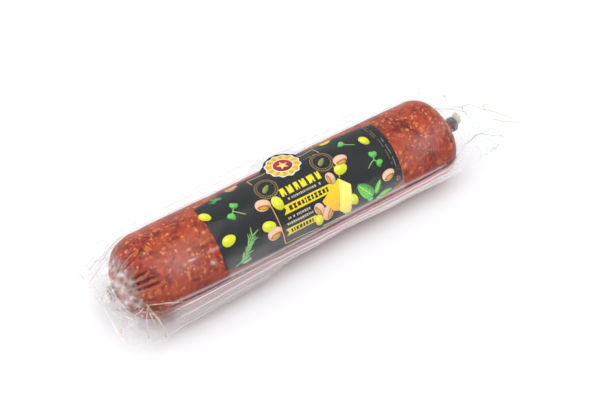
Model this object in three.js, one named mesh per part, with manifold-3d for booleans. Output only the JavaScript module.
// Cured sausage in a vacuum pack. Millimetres, +Z up.
// The sausage lies along X with its gathered far end at +X. The origin is on the table, under the middle
// of the sausage, on the flat strip that the pack rests on. The pack's near edge hangs down on the -Y side.
import * as THREE from 'three';
import { mergeVertices } from 'three/addons/utils/BufferGeometryUtils.js';
import Module from 'manifold-3d';

const wasm = await Module();
wasm.setup();

// ---- driving dimensions ----
const calibre = 60;            // diameter of the sausage
const bodyLength = 266;        // sausage without its gathered ends
const sag = 1.15;              // how far the sausage flattens on the table
const nearCapDepth = 26;       // length of the rounded near end
const farCapDepth = 18;
const nearCapExponent = 2.15;  // 2 is an ellipse, more is a squarer shoulder
const farCapExponent = 2.5;

const neckRadius = 3.2;        // casing gathered under the clip
const tailRadius = 4.4;        // casing fanned out past the clip
const nearNeckLength = 1.5;
const farNeckLength = 9.5;
const nearTailLength = 2.4;
const farTailLength = 5.5;

const clipWidth = 3.4;         // along the sausage
const clipWall = 2.1;
const clipBevel = 0.5;
const footHalfWidth = 0.4;     // of the clip's flat foot, in clip radii
const footDrop = 0.98;

const labelLength = 144;
const labelCentre = 4.8;       // middle of the label along X
const labelThickness = 0.3;
const labelBack = 12.3;        // arc from the top of the sausage to the label's back edge
const labelFront = 40.5;       // arc from the top to its front edge
const panelCentre = 3.5;       // the middle panel reaches a little further down than the rest
const panelLength = 57;
const panelDrop = 3;
const cornerRun = 2;           // along X, over which the panel's edge steps down
const tabCentre = 3.6;         // rounded tab that stands above the back edge
const tabLength = 30;
const tabHeight = 11;

const filmThickness = 0.35;
const clearance = 0.3;         // between pieces that touch
const flangeStep = 1.2;        // flat land between the bulge and the fold of the flange
const flangeWidth = 50;        // far edge of the flange, from the sausage's axis
const nearFlapLength = 13;     // pack past the sausage's near end
const farFlapLength = 65;
const hemHeight = 4;           // lower edge of the hanging flange above the table

// ---- sizes that follow ----
const radius = calibre / 2;
const poleX = bodyLength / 2;
const axisHeight = radius - sag + filmThickness + clearance;
const labelInner = radius + clearance;
const labelOuter = labelInner + labelThickness;
const filmInner = labelOuter + clearance;
const filmOuter = filmInner + filmThickness;
const clipInner = neckRadius + clearance;
const clipOuter = clipInner + clipWall;
const pocketRadius = clipOuter + clipBevel + clearance;
const landEdge = filmOuter + flangeStep;

const nearEnd = {
  side: -1, capDepth: nearCapDepth, capExponent: nearCapExponent,
  neckLength: nearNeckLength, tailLength: nearTailLength,
};
const farEnd = {
  side: 1, capDepth: farCapDepth, capExponent: farCapExponent,
  neckLength: farNeckLength, tailLength: farTailLength,
};
const clipStart = (end) => poleX + end.neckLength;
const clipFinish = (end) => clipStart(end) + clipWidth;
const tailFinish = (end) => clipFinish(end) + end.tailLength;

const latheSegments = 44;
const capSteps = 8;
const rowsPerFlap = 9;
const rowsAlongBody = 6;
const labelColumns = 16;
const tabRows = 14;

const lerp = (a, b, t) => a + (b - a) * t;
const smooth = (t) => t * t * (3 - 2 * t);
const bump = (t) => (Math.abs(t) < 1 ? Math.sqrt(1 - t * t) : 0);

// ---- solids and geometries ----
function toSolid(geometry) {
  const bare = geometry.clone();
  bare.deleteAttribute('normal');
  bare.deleteAttribute('uv');
  const merged = mergeVertices(bare, 1e-4);
  const index = merged.index.array;
  const kept = [];
  for (let i = 0; i < index.length; i += 3) {
    const [a, b, c] = [index[i], index[i + 1], index[i + 2]];
    if (a !== b && b !== c && c !== a) kept.push(a, b, c);
  }
  return new wasm.Manifold(new wasm.Mesh({
    numProp: 3,
    vertProperties: new Float32Array(merged.attributes.position.array),
    triVerts: new Uint32Array(kept),
  }));
}

function toGeometry(solid) {
  const mesh = solid.getMesh();
  const geometry = new THREE.BufferGeometry();
  geometry.setAttribute('position', new THREE.BufferAttribute(new Float32Array(mesh.vertProperties), 3));
  geometry.setIndex(new THREE.BufferAttribute(new Uint32Array(mesh.triVerts), 1));
  geometry.computeVertexNormals();
  return geometry;
}

// A closed thin sheet between two surfaces, each a function of two steps that gives a Vector3.
function sheet(rows, columns, upper, lower) {
  const points = [];
  const index = [];
  const at = (face, i, j) => (face * (rows + 1) + i) * (columns + 1) + j;
  const quad = (a, b, c, d) => index.push(a, c, b, a, d, c);
  for (const face of [upper, lower]) {
    for (let i = 0; i <= rows; i += 1) {
      for (let j = 0; j <= columns; j += 1) points.push(...face(i / rows, j / columns).toArray());
    }
  }
  for (let i = 0; i < rows; i += 1) {
    for (let j = 0; j < columns; j += 1) {
      quad(at(0, i, j), at(0, i + 1, j), at(0, i + 1, j + 1), at(0, i, j + 1));
      quad(at(1, i, j), at(1, i, j + 1), at(1, i + 1, j + 1), at(1, i + 1, j));
    }
    quad(at(0, i, 0), at(1, i, 0), at(1, i + 1, 0), at(0, i + 1, 0));
    quad(at(0, i, columns), at(0, i + 1, columns), at(1, i + 1, columns), at(1, i, columns));
  }
  for (let j = 0; j < columns; j += 1) {
    quad(at(0, 0, j), at(0, 0, j + 1), at(1, 0, j + 1), at(1, 0, j));
    quad(at(0, rows, j), at(1, rows, j), at(1, rows, j + 1), at(0, rows, j + 1));
  }
  const geometry = new THREE.BufferGeometry();
  geometry.setAttribute('position', new THREE.Float32BufferAttribute(points, 3));
  geometry.setIndex(index);
  return geometry;
}

// A profile of radius against X, turned round the sausage's axis and flattened where it meets the table.
function turned(profile, floor) {
  const geometry = new THREE.LatheGeometry(profile, latheSegments);
  geometry.rotateZ(-Math.PI / 2);
  geometry.translate(0, 0, axisHeight);
  const position = geometry.attributes.position;
  for (let i = 0; i < position.count; i += 1) position.setZ(i, Math.max(position.getZ(i), floor));
  return toSolid(geometry);
}

// The rounded end from its shoulder towards the pole, down to the radius that meets what follows it.
function capPoints(end, grow, stopRadius) {
  const points = [];
  const depth = end.capDepth + grow;
  const shoulder = poleX - end.capDepth;
  const stop = Math.acos(((stopRadius / (radius + grow)) ** (end.capExponent / 2)));
  for (let k = 0; k <= capSteps; k += 1) {
    const turn = stop * k / capSteps;
    points.push(new THREE.Vector2(
      (radius + grow) * Math.cos(turn) ** (2 / end.capExponent),
      shoulder + depth * Math.sin(turn) ** (2 / end.capExponent),
    ));
  }
  return points;
}

// Both ends' outlines, joined into one profile from the near tip to the far tip.
function wholeProfile(endPoints) {
  const near = endPoints(nearEnd).map((p) => new THREE.Vector2(p.x, -p.y)).reverse();
  return [...near, ...endPoints(farEnd)];
}

function salamiEnd(end) {
  const coneRadius = neckRadius * 1.9;
  return [
    ...capPoints(end, 0, coneRadius),
    new THREE.Vector2(neckRadius, clipStart(end) - clearance / 2),
    new THREE.Vector2(neckRadius, clipFinish(end) + clearance),
    new THREE.Vector2(tailRadius, tailFinish(end) - 0.4),
    new THREE.Vector2(tailRadius * 0.8, tailFinish(end)),
    new THREE.Vector2(0, tailFinish(end)),
  ];
}

// The bulge of the pack: the sausage's outline grown outwards, with a pocket round the clip and tail.
function bulgeEnd(grow) {
  return (end) => {
    const wall = grow - (filmInner - radius);
    const pocket = pocketRadius + wall;
    const close = tailFinish(end) + clearance + wall;
    return [
      ...capPoints(end, grow, pocket + 1.5),
      new THREE.Vector2(pocket, clipStart(end) + wall / 2),
      new THREE.Vector2(pocket, close),
      new THREE.Vector2(pocket * 0.5, close + 1.6),
      new THREE.Vector2(0, close + 2),
    ];
  };
}

// ---- the flange: one surface that both films follow ----
// Stations along X. far is the flange's far edge and hem its near edge, each [y, height from the axis];
// fold gives the two Y places where the flange starts to bend, mid the height between them, and lead slants
// the pack's ends.
const hang = hemHeight - axisHeight;
const hemOut = landEdge + 2.4;
const farLimit = poleX + farFlapLength;
const nearTurn = -poleX + 40;  // between these two places the section doesn't change
const farTurn = poleX - 45;
const straight = [landEdge, -landEdge];
const station = (x, far, fold, mid, hem, lead = [0, 0]) => ({ x, far, fold, mid, hem, lead });
const stations = [
  station(-poleX - nearFlapLength, [flangeWidth - 2, -5], [22, -12], 0, [-hemOut - 1, -13], [0, 3]),
  station(-poleX, [flangeWidth - 1, -3], [26, -24], 0, [-hemOut - 4, -16]),
  station(-poleX + 16, [flangeWidth, -1], straight, 0, [-hemOut - 3, -22]),
  station(nearTurn, [flangeWidth, 0], straight, 0, [-hemOut, hang]),
  station(farTurn, [flangeWidth, 0], straight, 0, [-hemOut, hang]),
  station(poleX - 12, [flangeWidth, -1], straight, 0, [-hemOut - 4, -15]),
  station(poleX + 6, [flangeWidth, -3], [20, -18], 0, [-landEdge - 1, -11]),
  station(tailFinish(farEnd) + 4, [flangeWidth, -5], [18, -14], 0, [-radius, -10]),
  station(farLimit, [flangeWidth - 11, -11], [16, -12], -12, [-radius + 7, -15], [-8, -12]),
];

function stationAt(x) {
  let k = 1;
  while (k < stations.length - 1 && x > stations[k].x) k += 1;
  const [a, b] = [stations[k - 1], stations[k]];
  const t = (x - a.x) / (b.x - a.x);
  const s = smooth(t);
  const mix = (p, q) => p.map((value, i) => lerp(value, q[i], s));
  return {
    far: mix(a.far, b.far), fold: mix(a.fold, b.fold), mid: lerp(a.mid, b.mid, s),
    hem: mix(a.hem, b.hem), lead: mix(a.lead, b.lead).map((value) => value * t),
    nearLead: a.lead.map((value) => value * (k === 1 ? 1 - t : 0)),
  };
}

const farShare = 0.22;         // of the sheet's columns on the far fin
const hemShare = 0.35;         // and on the hanging one

function flangePoint(x, v) {
  const s = stationAt(x);
  let y;
  let rise;
  let lead;
  if (v < farShare) {
    const w = v / farShare;
    y = lerp(s.far[0], s.fold[0], w);
    rise = lerp(s.far[1], s.mid, smooth(w));
    lead = lerp(s.lead[0] + s.nearLead[0], 0, w);
  } else if (v < 1 - hemShare) {
    const w = (v - farShare) / (1 - hemShare - farShare);
    y = lerp(s.fold[0], s.fold[1], w);
    rise = s.mid;
    lead = 0;
  } else {
    const w = (v - 1 + hemShare) / hemShare;
    y = lerp(s.fold[1], s.hem[0], 1 - (1 - w) ** 3);
    rise = lerp(s.mid, s.hem[1], w ** 1.5);
    lead = lerp(0, s.lead[1] + s.nearLead[1], w * w);
  }
  return new THREE.Vector3(x + lead, y, axisHeight + rise);
}

function flangeOffset(x, v, distance) {
  const step = 0.004;
  const here = flangePoint(x, v);
  const ahead = flangePoint(Math.min(x + 0.5, farLimit), v);
  const along = ahead.sub(flangePoint(Math.max(x - 0.5, stations[0].x), v));
  const across = flangePoint(x, Math.min(v + step, 1)).sub(flangePoint(x, Math.max(v - step, 0)));
  const normal = across.cross(along).normalize();
  return here.addScaledVector(normal, distance);
}

// Rows are closer over the two flaps than along the straight body.
function flangeRowX(u) {
  const rows = rowsAlongBody + 2 * rowsPerFlap;
  const row = u * rows;
  if (row <= rowsPerFlap) return lerp(stations[0].x, nearTurn, row / rowsPerFlap);
  if (row >= rows - rowsPerFlap) return lerp(farTurn, farLimit, (row - rows + rowsPerFlap) / rowsPerFlap);
  return lerp(nearTurn, farTurn, (row - rowsPerFlap) / rowsAlongBody);
}

function flange(nearer, further) {
  const rows = rowsAlongBody + 2 * rowsPerFlap;
  const columns = 18;
  return toSolid(sheet(
    rows,
    columns,
    (u, v) => flangeOffset(flangeRowX(u), v, Math.max(nearer, further)),
    (u, v) => flangeOffset(flangeRowX(u), v, Math.min(nearer, further)),
  ));
}

// A block that keeps what lies on one side of the seal, from the middle of that side's flange outwards.
function sideOfSeal(side) {
  const height = calibre * 2;
  const block = new THREE.BoxGeometry(4 * poleX, 4 * calibre, height);
  block.translate(0, 0, axisHeight + side * (clearance / 2 + filmThickness / 2 + height / 2));
  return toSolid(block);
}

function film(side) {
  const inner = side * clearance / 2;
  const outer = inner + side * filmThickness;
  const bulge = turned(wholeProfile(bulgeEnd(filmOuter - radius)), 0);
  const inside = turned(wholeProfile(bulgeEnd(filmInner - radius)), filmThickness);
  const half = bulge.intersect(sideOfSeal(side));
  return toGeometry(half.add(flange(inner, outer)).subtract(inside));
}

// ---- label ----
function labelEdge(x, v) {
  const back = -labelBack - tabHeight * bump((x - tabCentre) / (tabLength / 2));
  const past = Math.max(0, Math.abs(x - panelCentre) - panelLength / 2);
  const front = labelFront + panelDrop * Math.max(0, 1 - past / cornerRun);
  return lerp(back, front, v);
}

// Rows of the label along X: even steps, and closer ones round the tab so that its edge stays round.
function labelStations() {
  const start = labelCentre - labelLength / 2;
  const panelStart = panelCentre - panelLength / 2;
  const tabStart = tabCentre - tabLength / 2;
  const even = (a, b, count) => Array.from({ length: count }, (_, k) => lerp(a, b, k / count));
  const tab = Array.from({ length: tabRows }, (_, k) => (
    tabCentre - tabLength / 2 * Math.cos(Math.PI * k / tabRows)
  ));
  return [
    ...even(start, panelStart - cornerRun, 5),
    ...even(panelStart - cornerRun, panelStart, 1),
    ...even(panelStart, tabStart, 2),
    ...tab,
    ...even(tabStart + tabLength, panelStart + panelLength, 2),
    ...even(panelStart + panelLength, panelStart + panelLength + cornerRun, 1),
    ...even(panelStart + panelLength + cornerRun, start + labelLength, 5),
    start + labelLength,
  ];
}

function labelFace(stops, r) {
  return (u, v) => {
    const x = stops[Math.round(u * (stops.length - 1))];
    const turn = labelEdge(x, v) / labelOuter;
    return new THREE.Vector3(x, -r * Math.sin(turn), axisHeight + r * Math.cos(turn));
  };
}

function label() {
  const stops = labelStations();
  const rows = stops.length - 1;
  const solid = toSolid(sheet(rows, labelColumns, labelFace(stops, labelOuter), labelFace(stops, labelInner)));
  return toGeometry(solid);
}

// ---- clip: wire crimped into a closed ring with a flat foot where its two legs meet ----
function clip() {
  const outline = new THREE.Shape();
  outline.absarc(0, 0, clipOuter, -0.25 * Math.PI, 1.25 * Math.PI, false);
  outline.lineTo(-clipOuter * footHalfWidth, -clipOuter * footDrop);
  outline.lineTo(clipOuter * footHalfWidth, -clipOuter * footDrop);
  const hole = new THREE.Path();
  hole.absarc(0, 0, clipInner, 0, 2 * Math.PI, true);
  outline.holes.push(hole);
  const geometry = new THREE.ExtrudeGeometry(outline, {
    depth: clipWidth - 2 * clipBevel,
    bevelEnabled: true,
    bevelThickness: clipBevel,
    bevelSize: clipBevel,
    bevelOffset: -clipBevel,
    bevelSegments: 2,
    curveSegments: 9,
  });
  geometry.translate(0, 0, -(clipWidth - 2 * clipBevel) / 2);
  geometry.rotateX(Math.PI / 2);
  geometry.rotateZ(Math.PI / 2);
  return toGeometry(toSolid(geometry));
}

// ---- materials ----
const meat = new THREE.MeshStandardMaterial({ color: 0xa8402a, roughness: 0.42, metalness: 0 });
const aluminium = new THREE.MeshStandardMaterial({ color: 0xb9bbbd, roughness: 0.35, metalness: 1 });
const print = new THREE.MeshStandardMaterial({ color: 0x2c2c2f, roughness: 0.5, metalness: 0 });
const clear = () => new THREE.MeshStandardMaterial({
  color: 0xf4f2f0, roughness: 0.12, metalness: 0, transparent: true, opacity: 0.25,
});

// ---- the assembly ----
const pack = new THREE.Group();

function place(name, geometry, material, x = 0, z = 0) {
  const mesh = new THREE.Mesh(geometry, material);
  mesh.name = name;
  mesh.position.set(x, 0, z);
  pack.add(mesh);
  return mesh;
}

place('salami', toGeometry(turned(wholeProfile(salamiEnd), filmThickness + clearance)), meat);
place('clip_near_end', clip(), aluminium, -clipStart(nearEnd) - clipWidth / 2, axisHeight);
place('clip_far_end', clip(), aluminium.clone(), clipStart(farEnd) + clipWidth / 2, axisHeight);
place('label', label(), print);
place('film_upper', film(1), clear());
place('film_lower', film(-1), clear());

export default pack;
